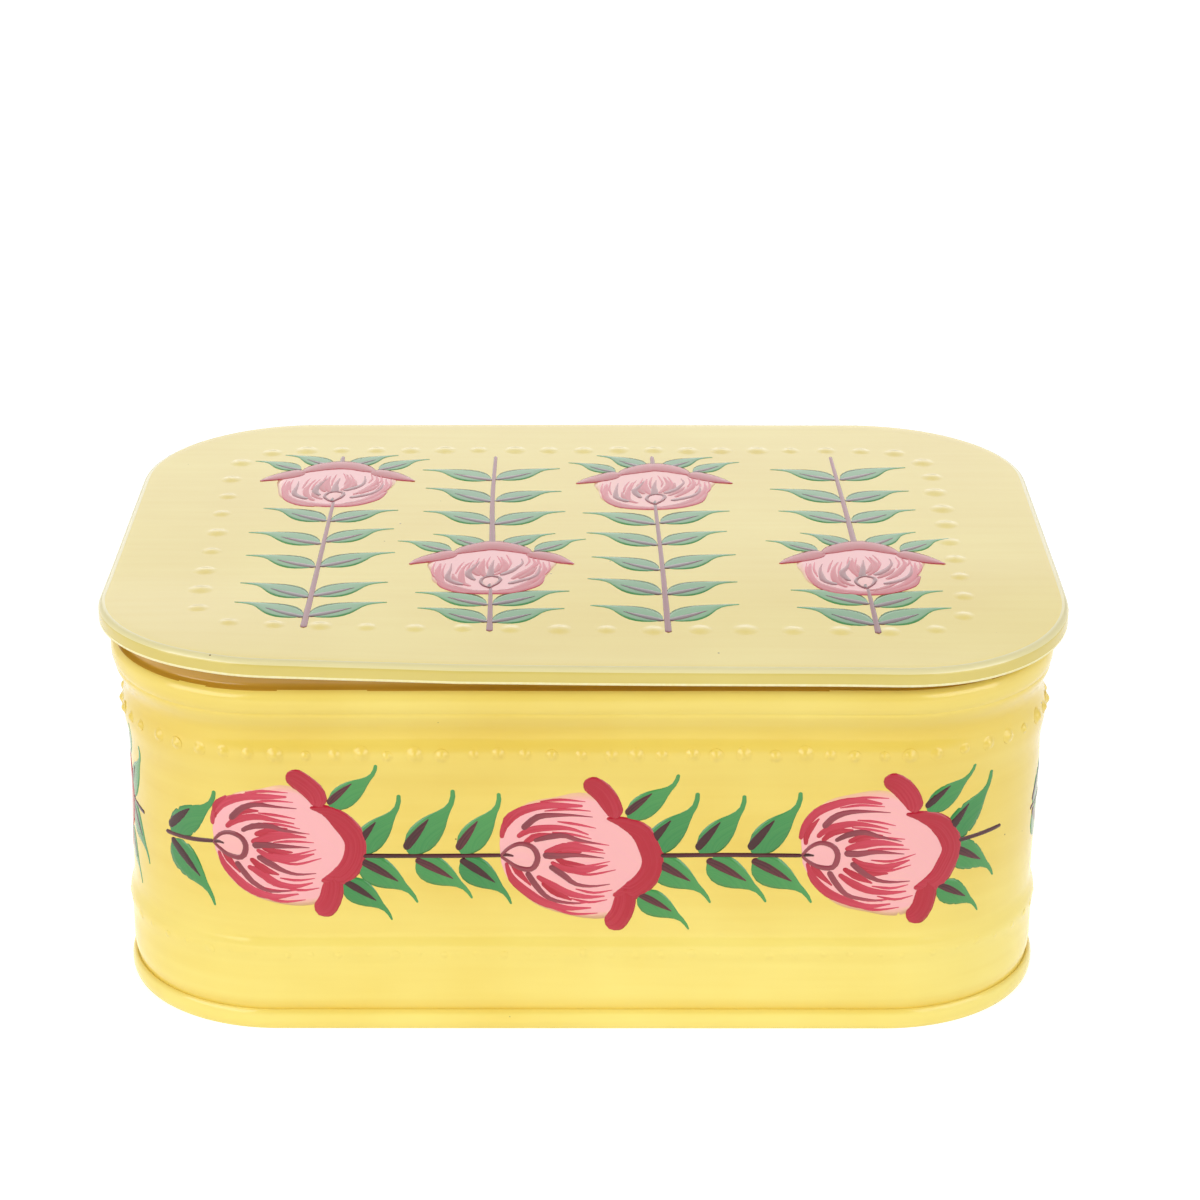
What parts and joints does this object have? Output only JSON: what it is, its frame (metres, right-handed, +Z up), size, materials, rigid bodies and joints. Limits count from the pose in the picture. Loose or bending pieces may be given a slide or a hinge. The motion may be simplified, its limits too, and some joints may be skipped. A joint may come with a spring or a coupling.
{
  "type": "painted metal keepsake box",
  "caption": "Rounded rectangular sheet-metal keepsake box with a rolled rim, ridged wall, beaded foot and a flat lift-off lid edged with punched dots.",
  "frame": {"origin": "on the table under the middle of the box, at the bottom of the base pan's bead", "axes": "+X along the box's length, +Y from the front to the back, +Z up through the lid"},
  "size_m": [0.18, 0.132, 0.0753],
  "materials": {
    "wall_paint": "yellow brushed enamel under clear gloss lacquer",
    "base_paint": "yellow brushed enamel under clear gloss lacquer",
    "lid_paint": "yellow brushed enamel under clear gloss lacquer",
    "bare_tinplate": "rolled tinplate"
  },
  "bodies": {
    "box": {"body_wall": "wall_paint", "base_pan": "base_paint"},
    "lid": {"lid_plate": "lid_paint", "lid_collar": "bare_tinplate"}
  },
  "joints": [
    {"name": "lid_lift", "type": "slide", "parent": "box", "child": "lid", "axis": [0, 0, 1], "range_m": [0, 0.1]}
  ]
}
